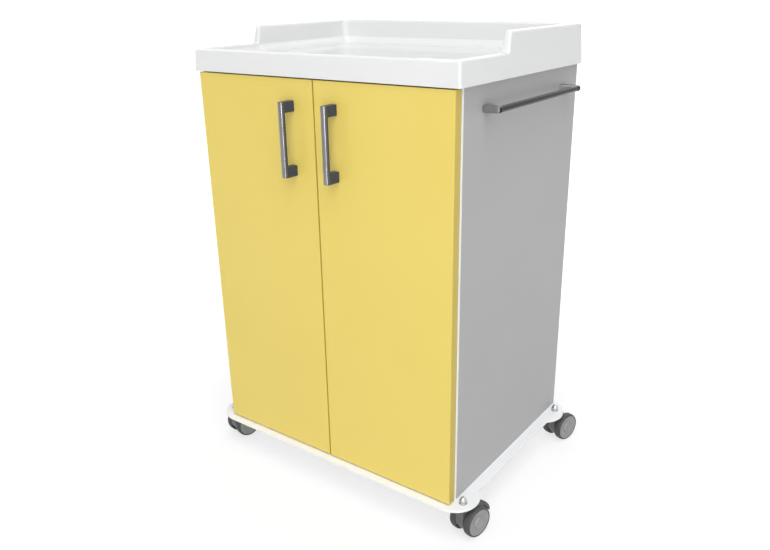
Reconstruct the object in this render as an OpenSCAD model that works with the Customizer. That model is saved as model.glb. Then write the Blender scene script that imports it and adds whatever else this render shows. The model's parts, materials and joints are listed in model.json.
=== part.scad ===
// Bedside cabinet on four twin-wheel casters: two doors on concealed cup hinges, a moulded tray top,
// a flat base plate with round ears, and a towel rail on the right side.
// X runs to the right, Y to the back and Z up from the floor. All sizes are in millimetres.

/* [Body] */
// Width over the side panels and over the closed doors
body_w = 580; // [480:10:700]
// Depth from the door faces to the back of the side panels
body_d = 460; // [400:10:560]
// Height of the doors
door_h = 760; // [620:10:920]
// Thickness of the doors
door_t = 18; // [16:1:22]
// Rounding of the doors' upright front edges
door_round = 2; // [0.5:0.5:4]
// Thickness of the carcass boards
board_t = 18; // [16:1:22]
// Thickness of the white band on the front edges of the side panels
band_t = 5; // [1:0.5:6]
// Thickness of the back panel
back_t = 8; // [4:1:12]
// Distance from the back of the side panels to the back panel
back_inset = 8; // [4:1:20]
// Depth of the grooves that hold the back panel
groove_d = 6; // [3:0.5:9]
// Height of the rail under the front of the top panel
rail_board_h = 80; // [60:5:110]

/* [Gaps] */
// Gap between the two doors
door_split = 2; // [2:0.5:6]
// Air between the doors and the carcass
door_air = 2; // [1.5:0.5:4]
// Gap between the doors and the base plate
door_base_gap = 2.5; // [1.5:0.5:5]
// Gap between the doors and the tray
door_tray_gap = 2.5; // [1.5:0.5:5]
// Slack on each side of a board that drops in loosely
board_fit = 0.5; // [0.2:0.1:1]
// Clearance of turning pins in their bores, on the radius
pin_fit = 0.05; // [0.02:0.01:0.1]
// Clearance of dowels, shanks and cups in their holes, on the radius
hole_fit = 0.1; // [0.05:0.05:0.3]

/* [Shelves] */
// Thickness of the shelves
shelf_t = 18; // [16:1:22]
// Height of the lower shelf's top above the bottom panel
lower_shelf_h = 250; // [200:5:300]
// Height of the upper shelf's top above the bottom panel
upper_shelf_h = 500; // [420:5:540]
// Setback of the shelves behind the carcass front
shelf_setback = 22; // [12:1:60]
// Diameter of the shelf pins
shelf_pin_d = 5; // [4:0.5:7]
// Length of a shelf pin inside the side panel
shelf_pin_in = 8; // [6:1:10]
// Length of a shelf pin under the shelf
shelf_pin_out = 9; // [7:1:14]

/* [Tray] */
// Overhang of the tray past each side panel
tray_over = 10; // [6:1:20]
// Overhang of the tray in front of the door faces
tray_front = 3; // [2:1:12]
// Height of the low rim above the tray's lower edge
tray_rim_h = 41; // [35:6:47]
// Height of the raised back above the tray's lower edge
tray_back_h = 75.5; // [60:0.5:110]
// Distance from the tray's front edge to the foot of the step
tray_step = 159; // [100:1:240]
// Run of the step's face from its foot to its top
tray_step_run = 8; // [2:1:20]
// Rounding at the top of the step
tray_step_r = 7; // [3:1:14]
// Width of the rim at its top
tray_rim_w = 16; // [16:1:30]
// Wall of the moulding
tray_wall = 4; // [3:0.5:5]
// Depth of the tray's floor below the low rim
tray_depth = 15; // [8:1:24]
// Draft of the outer faces, in degrees
tray_draft = 3.7; // [1:0.1:5]
// Draft of the inner faces, in degrees
well_draft = 2.2; // [1:0.1:5]
// Corner radius at the tray's lower edge
tray_corner_r = 8; // [7:0.5:14]
// Corner radius of the well at the low rim
well_corner_r = 12; // [12:1:30]

/* [Base] */
// Thickness of the base plate
plate_t = 5; // [3:0.5:8]
// Reach of the plate in front of the door faces
plate_front = 14; // [8:1:24]
// Reach of the plate behind the side panels
plate_back = 6; // [2:1:20]
// Reach of the plate past each side panel
plate_side = 22.5; // [18:0.5:32]
// Radius of the round ears
ear_r = 50; // [44:1:60]
// Distance of the ear centres inside the side panels' outer faces
ear_in = 11; // [4:1:20]
// Distance of the caster studs outside the side panels' outer faces
stud_out = 17; // [14:1:22]
// Distance of the caster studs from the ear centres, towards the front or the back
stud_shift = 14; // [4:1:18]

/* [Casters] */
// Height from the floor to the underside of the base plate
caster_h = 67.5; // [66:0.5:80]
// Diameter of the wheels
wheel_d = 62; // [56:1:62]
// Width of one wheel
wheel_w = 17; // [14:0.5:18]
// Width over both wheels of a caster
caster_w = 54; // [50:0.5:60]
// Distance from the swivel axis back to the axle
caster_trail = 20; // [16:0.5:24]
// Reach of the front right caster's brake pedal behind its axle
brake_reach = 45; // [44:1:50]
// Width of the brake pedal
brake_w = 47; // [40:1:50]
// Diameter of the axles
axle_d = 6; // [5:0.5:8]
// Diameter of the swivel pins
swivel_d = 11; // [9:0.5:12]
// Diameter of the threaded studs
stud_d = 8; // [6:0.5:10]
// Width over the flats of the dome nuts
nut_w = 13; // [10:0.5:17]
// Swivel angle of the front left caster, in degrees
swivel_front_left = -9; // [-180:1:180]
// Swivel angle of the front right caster, in degrees
swivel_front_right = -12; // [-180:1:180]
// Swivel angle of the rear left caster, in degrees
swivel_rear_left = -12; // [-180:1:180]
// Swivel angle of the rear right caster, in degrees
swivel_rear_right = -15; // [-180:1:180]

/* [Handles] */
// Length of the handle bars
handle_len = 136; // [100:1:200]
// Width of the bars and their post blocks
handle_w = 13; // [10:0.5:18]
// Depth of the bars from their flat back to the crown of their front
handle_bar_t = 8; // [8:0.5:16]
// Depth of the rounded part of the bars' front
handle_crown = 5; // [2:0.5:5]
// Reach of the handles in front of the doors
handle_reach = 32; // [28:1:45]
// Height of a post block
handle_block_h = 19; // [12:0.5:24]
// Height of the handles' middle above the lower edge of the doors
handle_z = 654; // [300:1:680]
// Distance of the left handle from the middle of the cabinet
handle_left_x = 52; // [30:1:90]
// Distance of the right handle from the middle of the cabinet
handle_right_x = 47; // [30:1:90]

/* [Towel rail] */
// Diameter of the rail
rail_d = 10.5; // [8:0.5:11.5]
// Distance of the rail's axis from the side panel
rail_reach = 27; // [22:1:45]
// Height of the rail's axis above the lower edge of the doors
rail_z = 721; // [500:1:730]
// Distance of the front post behind the door faces
rail_start = 84; // [60:1:140]
// Length over both posts
rail_len = 324; // [220:1:330]
// Height of the posts
post_h = 13; // [13:0.5:16]
// Length of a post's foot along the panel
post_foot = 26; // [20:1:40]

/* [Hinges] */
// Diameter of the hinge cups
cup_d = 35; // [35:0.5:40]
// Depth of the hinge cups in the doors
cup_depth = 12; // [11:0.5:13]
// Board left between a cup and the door's edge
cup_edge = 5; // [4:0.5:7]
// Distance of the hinges from the ends of the doors
hinge_end = 100; // [80:5:140]
// Diameter of the hinge pins
hinge_pin_d = 2.5; // [2:0.25:2.5]
// Setback of the mounting plates behind the carcass front
hinge_plate_setback = 37; // [32:1:45]

/* [Hidden] */
$fn = 48;
cut = 1;

sides = [["left", -1], ["right", 1]];
corners = [["front_left", -1, -1, swivel_front_left], ["front_right", 1, -1, swivel_front_right],
    ["rear_left", -1, 1, swivel_rear_left], ["rear_right", 1, 1, swivel_rear_right]];
wheel_sides = [["left", -1], ["right", 1]];

// Levels and faces
y_face = -body_d / 2;
y_back = body_d / 2;
base_z = caster_h + plate_t;
door_z = base_z + door_base_gap;
tray_z = door_z + door_h + door_tray_gap;
carcass_h = tray_z - base_z;
door_back = y_face + door_t;
carcass_front = door_back + door_air;
board_front = carcass_front + band_t;
inner_x = body_w / 2 - board_t;
panel_x = body_w / 2;
back_y = y_back - back_inset - back_t;
deck_z = base_z + board_t;

// Dowels
dowel_d = 8;
dowel_len = 30;
dowel_in = 11;
dowel_relief = 0.5;
dowel_ys = [board_front + 60, (board_front + back_y) / 2, back_y - 60];
rail_dowel_zs = [tray_z - rail_board_h / 4, tray_z - rail_board_h * 3 / 4];

// Tray, measured up from its lower edge
tray_x = body_w / 2 + tray_over;
tray_y0 = y_face - tray_front;
tray_y1 = y_back;
tray_floor = tray_rim_h - tray_depth;
tray_edge = 3;
well_x = tray_x - lean(tray_rim_h) - tray_rim_w;
well_y0 = tray_y0 + lean(tray_rim_h) + tray_rim_w;
well_y1 = tray_y1 - lean(tray_rim_h) - tray_rim_w;
well_fillet = 6;
step_angle = atan2(tray_step_run, tray_back_h - tray_rim_h);
tray_seat = tray_floor - tray_wall;
boss_d = 12;
boss_h = tray_seat - 4;
boss_x = 200;
boss_y = 130;
tray_screw_d = 3.4;

// Base plate and casters
plate_x = panel_x + plate_side;
plate_y0 = y_face - plate_front;
plate_y1 = y_back + plate_back;
ear_x = panel_x - ear_in;
ear_y0 = plate_y0 + ear_r;
ear_y1 = plate_y1 - ear_r;
stud_x = panel_x + stud_out;
axle_z = wheel_d / 2;
wheel_gap = 0.8;
housing_w = caster_w - 2 * wheel_w - 2 * wheel_gap;
flange_d = 24;
flange_t = 2.5;
housing_top = caster_h - flange_t - 0.5;
swivel_len = 26;
hub_bore = 12;
brake_corner = corners[1];
brake_air = 3.5;
brake_t = 4;
brake_top = 12;
brake_pin = [12, 17];
brake_pin_d = 4;
brake_eye = 9;
brake_neck = 10;
brake_gap = 0.4;
washer_d = 16;
washer_t = 1.6;
nut_h = 6.5;
base_screw_d = 5;
base_screw_len = 15;
base_screw_xs = [-190, 190];
base_screw_ys = [-150, 0, 150];

// Handles
handle_zs = [for (s = [-1, 1]) door_z + handle_z + s * (handle_len - handle_block_h) / 2];
handle_screw_d = 4;
handle_screw_in = 14;

// Towel rail
rail_axis_x = panel_x + rail_reach;
rail_axis_z = door_z + rail_z;
rail_y0 = y_face + rail_start;
rail_y1 = rail_y0 + rail_len;
rail_socket = 7;
post_end = rail_d + 2;
rail_screw_d = 5;
rail_screw_in = 14;

// Hinges, in plan on the right-hand door
cup_x = panel_x - cup_edge - cup_d / 2;
cup_wall = 0.6;
cup_floor = 0.6;
cup_slot_w = 16;
pin_reach = cup_slot_w / 2 + 2.4;
cup_rim = 2;
flange_out = 1;
plug_d = 8;
plug_len = 9;
plug_pitch = 48;
plug_x = cup_x - 7;
hinge_zs = [door_z + hinge_end, door_z + door_h - hinge_end];
link_pin = [cup_x - 18.2, door_back + 13.8];
cup_pin = [cup_x + 12.4, door_back - 3.3];
guide_pin = [cup_x - 13.3, door_back + 10.1];
guide_cup_pin = [cup_x + 8.2, door_back - 7.35];
door_swing = 100;
link_ratio = -0.235;
guide_ratio = -0.161;
link_bend = -8;
guide_bend = -9.2;
link_t = 2.4;
eye_d = hinge_pin_d + 2.8;
guide_w = 5.6;
link_plate = 2;
link_gap = 0.4;
slot_fit = 0.9;
arm_sheet = 1.5;
arm_gap = guide_w + 2 * (link_plate + 2 * link_gap);
arm_w = arm_gap + 2 * arm_sheet;
arm_web_x = cup_x - 11;
arm_edge_x = inner_x - 6;
arm_neck = 30;
arm_back = 60;
hinge_plate_y = carcass_front + hinge_plate_setback;
hinge_plate_t = 3;
hinge_plate_w = 18;
hinge_plate_h = 52;
rib_w = arm_gap - 0.2;
hinge_screw_pitch = 32;
hinge_screw_d = 5;
hinge_screw_in = 11;
arm_screw_d = 5;
arm_screw_len = 8;

// Place of the guide link's rear pin when the door is open by t
function turn(p, t) = [p[0] * cos(t) - p[1] * sin(t), p[0] * sin(t) + p[1] * cos(t)];
function guide_spot(t) = link_pin + turn(cup_pin - link_pin, link_ratio * t)
    + turn(guide_cup_pin - cup_pin, t) + turn(guide_pin - guide_cup_pin, guide_ratio * t);
guide_path = [for (t = [0, 0.5, 1]) guide_spot(t * door_swing)];

// Points on a line from p to q bent sideways by b
function bend(p, q, b) = let (m = (p + q) / 2 + 2 * b * turn(q - p, 90) / norm(q - p))
    [for (t = [0 : 0.125 : 1]) (1 - t) * (1 - t) * p + 2 * t * (1 - t) * m + t * t * q];

function lean(z) = z * tan(tray_draft);
function flare(z) = (z - tray_rim_h) * tan(well_draft);

// Shapes that repeat

// Outline between a and b whose two sides follow a profile of [inset, height] points
function section(profile, a, b) = concat([for (p = profile) [b - p[0], p[1]]],
    [for (i = [len(profile) - 1 : -1 : 0]) [a + profile[i][0], profile[i][1]]]);

// Upright block with round corners, x to each side and from y0 to y1, whose sides follow a profile
module profile_block(x, y0, y1, r, profile) {
    translate([0, y1 - r, 0])
        rotate([90, 0, 0])
            linear_extrude(y1 - y0 - 2 * r)
                polygon(section(profile, -x, x));
    translate([r - x, 0, 0])
        rotate([90, 0, 90])
            linear_extrude(2 * (x - r))
                polygon(section(profile, y0, y1));
    for (cx = [r - x, x - r], cy = [y0 + r, y1 - r])
        translate([cx, cy, 0])
            rotate_extrude()
                polygon(concat([[0, profile[0][1]]], [for (p = profile) [r - p[0], p[1]]],
                    [[0, profile[len(profile) - 1][1]]]));
}

// Upright block with sharp corners whose sides follow such a profile
module sharp_block(x, y0, y1, profile) {
    intersection() {
        translate([0, y1, 0])
            rotate([90, 0, 0])
                linear_extrude(y1 - y0)
                    polygon(section(profile, -x, x));
        translate([-x, 0, 0])
            rotate([90, 0, 90])
                linear_extrude(2 * x)
                    polygon(section(profile, y0, y1));
    }
}

// Bar of width t along a line of points in plan, round at each point
module bent_bar(points, t) {
    for (p = points)
        translate(p)
            circle(d = t);
    for (i = [1 : len(points) - 1]) {
        run = points[i] - points[i - 1];
        translate(points[i - 1])
            rotate(atan2(run[1], run[0]))
                translate([0, -t / 2])
                    square([norm(run), t]);
    }
}

// Screw along +Z whose head sits below Z = 0
module screw(shank_d, shank_len, head_d, head_h) {
    cylinder(d = shank_d, h = shank_len);
    translate([0, 0, -head_h])
        cylinder(d = head_d, h = head_h);
}

// Cylinders along +X and +Y from the origin
module rod_x(d, h) { rotate([0, 90, 0]) cylinder(d = d, h = h); }
module rod_y(d, h) { rotate([-90, 0, 0]) cylinder(d = d, h = h); }

// Both halves of something built on the right
module both_sides() {
    children();
    mirror([1, 0, 0]) children();
}

// Both halves of something built above the middle of a hinge
module both_ends() {
    children();
    mirror([0, 0, 1]) children();
}

module on_side(s) {
    mirror([s < 0 ? 1 : 0, 0, 0]) children();
}

// Base plate, its screws and what holds the casters

module base_screw_places() {
    for (x = base_screw_xs, y = base_screw_ys)
        translate([x, y, caster_h])
            children();
}

module stud_places() {
    for (c = corners)
        translate([c[1] * stud_x, c[2] < 0 ? ear_y0 - stud_shift : ear_y1 + stud_shift, 0])
            children();
}

module base_plate() {
    color("white")
        difference() {
            translate([0, 0, caster_h])
                linear_extrude(plate_t)
                    union() {
                        translate([-plate_x, ear_y0])
                            square([2 * plate_x, ear_y1 - ear_y0]);
                        translate([-ear_x, plate_y0])
                            square([2 * ear_x, plate_y1 - plate_y0]);
                        for (x = [-ear_x, ear_x], y = [ear_y0, ear_y1])
                            translate([x, y])
                                circle(r = ear_r, $fn = 96);
                    }
            translate([0, 0, caster_h - cut])
                stud_places()
                    cylinder(d = stud_d + 2 * hole_fit, h = plate_t + 2 * cut);
            base_screw_places()
                translate([0, 0, -cut])
                    cylinder(d = base_screw_d + 2 * hole_fit, h = plate_t + 2 * cut);
        }
}

module base_screws() {
    color("silver")
        base_screw_places()
            screw(base_screw_d, plate_t + base_screw_len, 2 * base_screw_d, 2.5);
}

module nut_washers() {
    color("silver")
        stud_places()
            translate([0, 0, base_z])
                difference() {
                    cylinder(d = washer_d, h = washer_t);
                    translate([0, 0, -cut])
                        cylinder(d = stud_d + 2 * hole_fit, h = washer_t + 2 * cut);
                }
}

module acorn_nuts() {
    hex_d = nut_w / cos(30);
    dome_d = nut_w - 0.6;
    color("silver")
        stud_places()
            translate([0, 0, base_z + washer_t])
                difference() {
                    union() {
                        intersection() {
                            cylinder(d = hex_d, h = nut_h, $fn = 6);
                            cylinder(d1 = hex_d + 8, d2 = hex_d - 1, h = nut_h);
                        }
                        translate([0, 0, nut_h])
                            intersection() {
                                sphere(d = dome_d);
                                translate([0, 0, dome_d / 2])
                                    cube(dome_d, center = true);
                            }
                    }
                    translate([0, 0, -cut])
                        cylinder(d = stud_d + 2 * hole_fit, h = nut_h + cut + 1.5);
                }
}

module caster_studs() {
    color("silver")
        stud_places() {
            translate([0, 0, housing_top - swivel_len])
                cylinder(d = swivel_d, h = swivel_len + 0.5);
            translate([0, 0, caster_h - flange_t])
                cylinder(d = flange_d, h = flange_t);
            translate([0, 0, caster_h])
                cylinder(d = stud_d, h = plate_t + washer_t + nut_h);
        }
}

// Carcass

// All dowels of radius r, each longer by more at both ends
module dowel_set(r, more) {
    both_sides() {
        for (y = dowel_ys) {
            translate([inner_x + dowel_in - dowel_len - more, y, base_z + board_t / 2])
                rod_x(2 * r, dowel_len + 2 * more);
            translate([inner_x + board_t / 2, y, tray_z + dowel_in - dowel_len - more])
                cylinder(r = r, h = dowel_len + 2 * more);
        }
        for (z = rail_dowel_zs)
            translate([inner_x + dowel_in - dowel_len - more, carcass_front + (band_t + board_t) / 2, z])
                rod_x(2 * r, dowel_len + 2 * more);
    }
}

module dowel_bores() {
    dowel_set(dowel_d / 2 + hole_fit, dowel_relief);
}

module carcass_dowels() {
    color("burlywood")
        dowel_set(dowel_d / 2, 0);
}

module shelf_pin_places() {
    for (h = [lower_shelf_h, upper_shelf_h], y = [board_front + 70, back_y - 70])
        translate([inner_x, y, deck_z + h - shelf_t])
            children();
}

pin_drop = shelf_pin_d * 0.65;

module shelf_pins() {
    color("silver")
        both_sides()
            shelf_pin_places() {
                translate([-shelf_pin_out, 0, -pin_drop])
                    rod_x(shelf_pin_d, shelf_pin_out + shelf_pin_in);
                translate([-shelf_pin_out, -shelf_pin_d / 2, -pin_drop])
                    cube([shelf_pin_out, shelf_pin_d, pin_drop]);
            }
}

// Right-hand side panel with its groove and bores
module side_board() {
    difference() {
        translate([inner_x, board_front, base_z])
            cube([board_t, y_back - board_front, carcass_h]);
        translate([inner_x - cut, back_y - board_fit / 2, base_z - cut])
            cube([groove_d + cut, back_t + board_fit, carcass_h + 2 * cut]);
        dowel_bores();
        shelf_pin_places()
            translate([-cut, 0, -pin_drop])
                rod_x(shelf_pin_d + 2 * hole_fit, shelf_pin_in + cut + dowel_relief);
        hinge_screw_places()
            translate([-cut, 0, 0])
                rod_x(hinge_screw_d + 2 * hole_fit, hinge_screw_in + cut + dowel_relief);
    }
}

module side_panel_left() {
    color("gainsboro")
        mirror([1, 0, 0])
            side_board();
}

module side_panel_right() {
    color("darkgray")
        difference() {
            side_board();
            rail_screw_places()
                translate([-cut, 0, 0])
                    rod_x(rail_screw_d + 2 * hole_fit, board_t + 2 * cut);
        }
}

module side_edge_bands() {
    color("white")
        both_sides()
            translate([inner_x, carcass_front, base_z])
                cube([board_t, band_t, carcass_h]);
}

module bottom_panel() {
    color("white")
        difference() {
            translate([-inner_x, carcass_front, base_z])
                cube([2 * inner_x, back_y - carcass_front, board_t]);
            dowel_bores();
            base_screw_places()
                translate([0, 0, plate_t - cut])
                    cylinder(d = base_screw_d + 2 * hole_fit, h = base_screw_len + cut + dowel_relief);
        }
}

module top_rail() {
    color("white")
        difference() {
            translate([-inner_x, carcass_front, tray_z - rail_board_h])
                cube([2 * inner_x, board_t, rail_board_h]);
            dowel_bores();
        }
}

module boss_places() {
    for (x = [-boss_x, boss_x], y = [-boss_y, boss_y])
        translate([x, y, tray_z])
            children();
}

module top_panel() {
    gap = tray_wall + lean(tray_seat) + board_fit;
    color("white")
        difference() {
            translate([-tray_x + gap, tray_y0 + gap, tray_z])
                cube([2 * (tray_x - gap), tray_y1 - tray_y0 - 2 * gap, tray_seat]);
            dowel_bores();
            boss_places()
                translate([0, 0, -cut])
                    cylinder(d = boss_d + 2 * board_fit, h = tray_seat + 2 * cut);
        }
}

module back_panel() {
    half = inner_x + groove_d - board_fit;
    color("white")
        translate([-half, back_y, base_z])
            cube([2 * half, back_t, carcass_h]);
}

module shelf_board(h) {
    half = inner_x - board_fit;
    front = carcass_front + shelf_setback;
    color("white")
        translate([-half, front, deck_z + h - shelf_t])
            cube([2 * half, back_y - board_fit - front, shelf_t]);
}

module lower_shelf() { shelf_board(lower_shelf_h); }

module upper_shelf() { shelf_board(upper_shelf_h); }

// Tray top

// Outer form up to height h, with its top edge rounded
module tray_form(h) {
    e = tray_edge;
    profile_block(tray_x, tray_y0, tray_y1, tray_corner_r, [[0, 0], [lean(h - e), h - e],
        [lean(h) + e * 0.3, h - e * 0.3], [lean(h) + e, h]]);
}

// Space under the moulding up to height h, one wall inside the outer form
module tray_space(h) {
    w = tray_wall;
    sharp_block(tray_x - w, tray_y0 + w, tray_y1 - w, [[lean(-cut), -cut], [lean(h), h]]);
}

// Everything behind the step, seen from the side, with the step's face set back by s
module step_side(s) {
    foot = tray_y0 + tray_step + s;
    rise = tray_back_h - tray_rim_h - s;
    c = [foot + (tray_step_r + (rise - tray_step_r) * sin(step_angle)) / cos(step_angle),
         tray_back_h - s - tray_step_r];
    t = c + tray_step_r * [-cos(step_angle), sin(step_angle)];
    translate([-tray_x, 0, 0])
        rotate([90, 0, 90])
            linear_extrude(2 * tray_x) {
                polygon([[foot - tray_rim_h * tan(step_angle), 0], t, c, [c[0], tray_back_h],
                    [tray_y1, tray_back_h], [tray_y1, 0]]);
                translate(c)
                    circle(r = tray_step_r);
            }
}

module tray_outer() {
    tray_form(tray_rim_h);
    intersection() {
        tray_form(tray_back_h);
        step_side(0);
    }
}

module tray_inner() {
    tray_space(tray_rim_h - tray_wall);
    intersection() {
        tray_space(tray_back_h - tray_wall);
        step_side(tray_wall);
    }
}

// The well above the tray's floor, rounded at its foot
module tray_well() {
    f = well_fillet;
    top = tray_back_h + cut;
    profile_block(well_x, well_y0, well_y1, well_corner_r, [[f * 0.8 - flare(tray_floor), tray_floor],
        [f * 0.35 - flare(tray_floor), tray_floor + f * 0.2], [-flare(tray_floor + f), tray_floor + f],
        [-flare(top), top]]);
}

module tray_top() {
    w = tray_wall + flare(tray_back_h);
    color("white")
        translate([0, 0, tray_z])
            difference() {
                union() {
                    difference() {
                        tray_outer();
                        tray_well();
                        difference() {
                            tray_inner();
                            sharp_block(well_x + w, well_y0 - w, well_y1 + w,
                                [[0, tray_seat], [0, tray_back_h]]);
                        }
                    }
                    translate([0, 0, tray_seat - boss_h - tray_z])
                        boss_places()
                            cylinder(d = boss_d, h = boss_h + tray_wall / 2);
                }
                translate([0, 0, -tray_z])
                    boss_places()
                        cylinder(d = tray_screw_d + 2 * hole_fit, h = tray_seat);
            }
}

module tray_screws() {
    color("silver")
        boss_places() {
            screw(tray_screw_d, tray_seat - 1, 2 * tray_screw_d, 4);
            translate([0, 0, -washer_t])
                cylinder(d = boss_d + 6, h = washer_t);
        }
}

// Towel rail

module rail_screw_places() {
    for (y = [rail_y0 + post_end, rail_y1 - post_end])
        translate([inner_x, y, rail_axis_z])
            children();
}

module towel_rail_bar() {
    len = rail_len - 2 * post_end + 2 * rail_socket;
    color("lightgray")
        translate([rail_axis_x, rail_y0 + post_end - rail_socket, rail_axis_z])
            rod_y(rail_d, len);
}

// Front post: a wide foot on the panel that narrows to the rail's socket
module rail_post() {
    tip = post_end / 2;
    difference() {
        translate([0, 0, rail_axis_z - post_h / 2])
            linear_extrude(post_h) {
                translate([rail_axis_x, rail_y0 + tip])
                    circle(r = tip);
                polygon([[panel_x, rail_y0], [rail_axis_x, rail_y0], [rail_axis_x, rail_y0 + post_end],
                    [(panel_x + rail_axis_x) / 2, rail_y0 + (post_end + post_foot) / 2 - 1],
                    [panel_x, rail_y0 + post_foot]]);
            }
        translate([rail_axis_x, rail_y0 + post_end - rail_socket - hole_fit, rail_axis_z])
            rod_y(rail_d + 2 * hole_fit, post_foot);
        rail_screw_places()
            rod_x(rail_screw_d + 2 * hole_fit, board_t + rail_screw_in + dowel_relief);
    }
}

module towel_rail_posts() {
    color("lightgray") {
        rail_post();
        translate([0, rail_y0 + rail_y1, 0])
            mirror([0, 1, 0])
                rail_post();
    }
}

module towel_rail_screws() {
    color("silver")
        rail_screw_places()
            rotate([0, 90, 0])
                screw(rail_screw_d, board_t + rail_screw_in, 2 * rail_screw_d, 2.5);
}

// Doors and handles

module handle_screw_places(s) {
    x = s < 0 ? handle_left_x : handle_right_x;
    for (z = handle_zs)
        translate([x, door_back, z])
            children();
}

module door(s) {
    x0 = door_split / 2;
    r = door_round;
    color("khaki")
        on_side(s)
            difference() {
                translate([0, 0, door_z])
                    linear_extrude(door_h) {
                        translate([x0, y_face + r])
                            square([panel_x - x0, door_t - r]);
                        translate([x0 + r, y_face])
                            square([panel_x - x0 - 2 * r, door_t]);
                        for (x = [x0 + r, panel_x - r])
                            translate([x, y_face + r])
                                circle(r = r);
                    }
                for (z = hinge_zs)
                    translate([cup_x, door_back - cup_depth - hole_fit, z])
                        rod_y(cup_d + 2 * hole_fit, cup_depth + cut);
                plug_places()
                    translate([0, -plug_len - hole_fit, 0])
                        rod_y(plug_d + 2 * hole_fit, plug_len + cut);
                handle_screw_places(s)
                    translate([0, cut, 0])
                        rotate([90, 0, 0])
                            cylinder(d = handle_screw_d + 2 * hole_fit, h = door_t + 2 * cut);
            }
}

module handle_bar(s) {
    x = s < 0 ? handle_left_x : handle_right_x;
    flat = handle_bar_t - handle_crown;
    crown_r = (handle_w * handle_w / 4 + handle_crown * handle_crown) / (2 * handle_crown);
    color("lightgray")
        on_side(s)
            translate([x, y_face - handle_reach + handle_crown, door_z + handle_z - handle_len / 2])
                linear_extrude(handle_len) {
                    translate([-handle_w / 2, 0])
                        square([handle_w, flat]);
                    intersection() {
                        translate([0, crown_r - handle_crown])
                            circle(r = crown_r, $fn = 96);
                        translate([-handle_w / 2, -handle_crown])
                            square([handle_w, handle_crown]);
                    }
                }
}

module handle_posts(s) {
    depth = handle_reach - handle_bar_t;
    color("dimgray")
        on_side(s)
            difference() {
                handle_screw_places(s)
                    translate([-handle_w / 2, -door_t - depth, -handle_block_h / 2])
                        cube([handle_w, depth, handle_block_h]);
                handle_screw_places(s)
                    rotate([90, 0, 0])
                        cylinder(d = handle_screw_d + 2 * hole_fit,
                            h = door_t + handle_screw_in + dowel_relief);
            }
}

module handle_screws(s) {
    color("silver")
        on_side(s)
            handle_screw_places(s)
                rotate([90, 0, 0])
                    screw(handle_screw_d, door_t + handle_screw_in, 2 * handle_screw_d, door_air);
}

module door_bumpers(s) {
    color("whitesmoke")
        on_side(s)
            for (z = [base_z + board_t / 2 + door_base_gap, tray_z - rail_board_h / 2])
                translate([door_split / 2 + 14, door_back, z])
                    rod_y(9, door_air - 0.2);
}

// Cup hinges, on the right-hand door

module at_hinges() {
    for (z = hinge_zs)
        translate([0, 0, z])
            children();
}

module plug_places() {
    at_hinges()
        for (z = [-plug_pitch / 2, plug_pitch / 2])
            translate([plug_x, door_back, z])
                children();
}

module hinge_cups(s) {
    depth = cup_depth + flange_out;
    color("silver")
        on_side(s) {
            difference() {
                at_hinges() {
                    translate([cup_x, door_back - cup_depth, 0])
                        rod_y(cup_d, depth);
                    translate([cup_x, door_back, 0])
                        rod_y(cup_d + 2 * cup_rim, flange_out);
                    translate([plug_x - plug_d, door_back, -plug_pitch / 2])
                        cube([2 * plug_d, flange_out, plug_pitch]);
                    for (z = [-plug_pitch / 2, plug_pitch / 2])
                        translate([plug_x, door_back, z])
                            rod_y(2 * plug_d, flange_out);
                }
                at_hinges() {
                    intersection() {
                        translate([cup_x, door_back - cup_depth + cup_floor, 0])
                            rod_y(cup_d - 2 * cup_wall, depth);
                        translate([cup_x - cup_d, y_face, -cup_slot_w / 2])
                            cube([2 * cup_d, 2 * door_t, cup_slot_w]);
                    }
                    for (p = [cup_pin, guide_cup_pin])
                        translate([p[0], p[1], -pin_reach])
                            cylinder(d = hinge_pin_d + 2 * pin_fit, h = 2 * pin_reach);
                }
            }
            plug_places()
                translate([0, -plug_len, 0])
                    rod_y(plug_d, plug_len);
        }
}

module hinge_cup_pins(s) {
    color("dimgray")
        on_side(s)
            at_hinges()
                for (p = [cup_pin, guide_cup_pin])
                    translate([p[0], p[1], 0.3 - pin_reach])
                        cylinder(d = hinge_pin_d, h = 2 * pin_reach - 0.6);
}

// Outer link: two side plates on the arm's pin and the cup's outer pin
module hinge_links(s) {
    color("lightgray")
        on_side(s)
            at_hinges()
                both_ends()
                    translate([0, 0, guide_w / 2 + link_gap])
                        linear_extrude(link_plate)
                            difference() {
                                union() {
                                    bent_bar(bend(link_pin, cup_pin, link_bend), link_t);
                                    for (p = [link_pin, cup_pin])
                                        translate(p)
                                            circle(d = eye_d);
                                }
                                for (p = [link_pin, cup_pin])
                                    translate(p)
                                        circle(d = hinge_pin_d + 2 * pin_fit);
                            }
}

// Inner link: it turns on the cup's inner pin, and its rear pin runs in the arm's slots
module hinge_guide_links(s) {
    color("lightgray")
        on_side(s)
            at_hinges() {
                translate([0, 0, -guide_w / 2])
                    linear_extrude(guide_w)
                        difference() {
                            union() {
                                bent_bar(bend(guide_pin, guide_cup_pin, guide_bend), link_t);
                                for (p = [guide_pin, guide_cup_pin])
                                    translate(p)
                                        circle(d = eye_d);
                            }
                            translate(guide_cup_pin)
                                circle(d = hinge_pin_d + 2 * pin_fit);
                        }
                translate([guide_pin[0], guide_pin[1], -arm_w / 2])
                    cylinder(d = hinge_pin_d, h = arm_w);
            }
}

module hinge_screw_places() {
    at_hinges()
        for (z = [-hinge_screw_pitch / 2, hinge_screw_pitch / 2])
            translate([inner_x, hinge_plate_y, z])
                children();
}

module arm_screw_places() {
    at_hinges()
        translate([arm_web_x, hinge_plate_y, 0])
            children();
}

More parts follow.
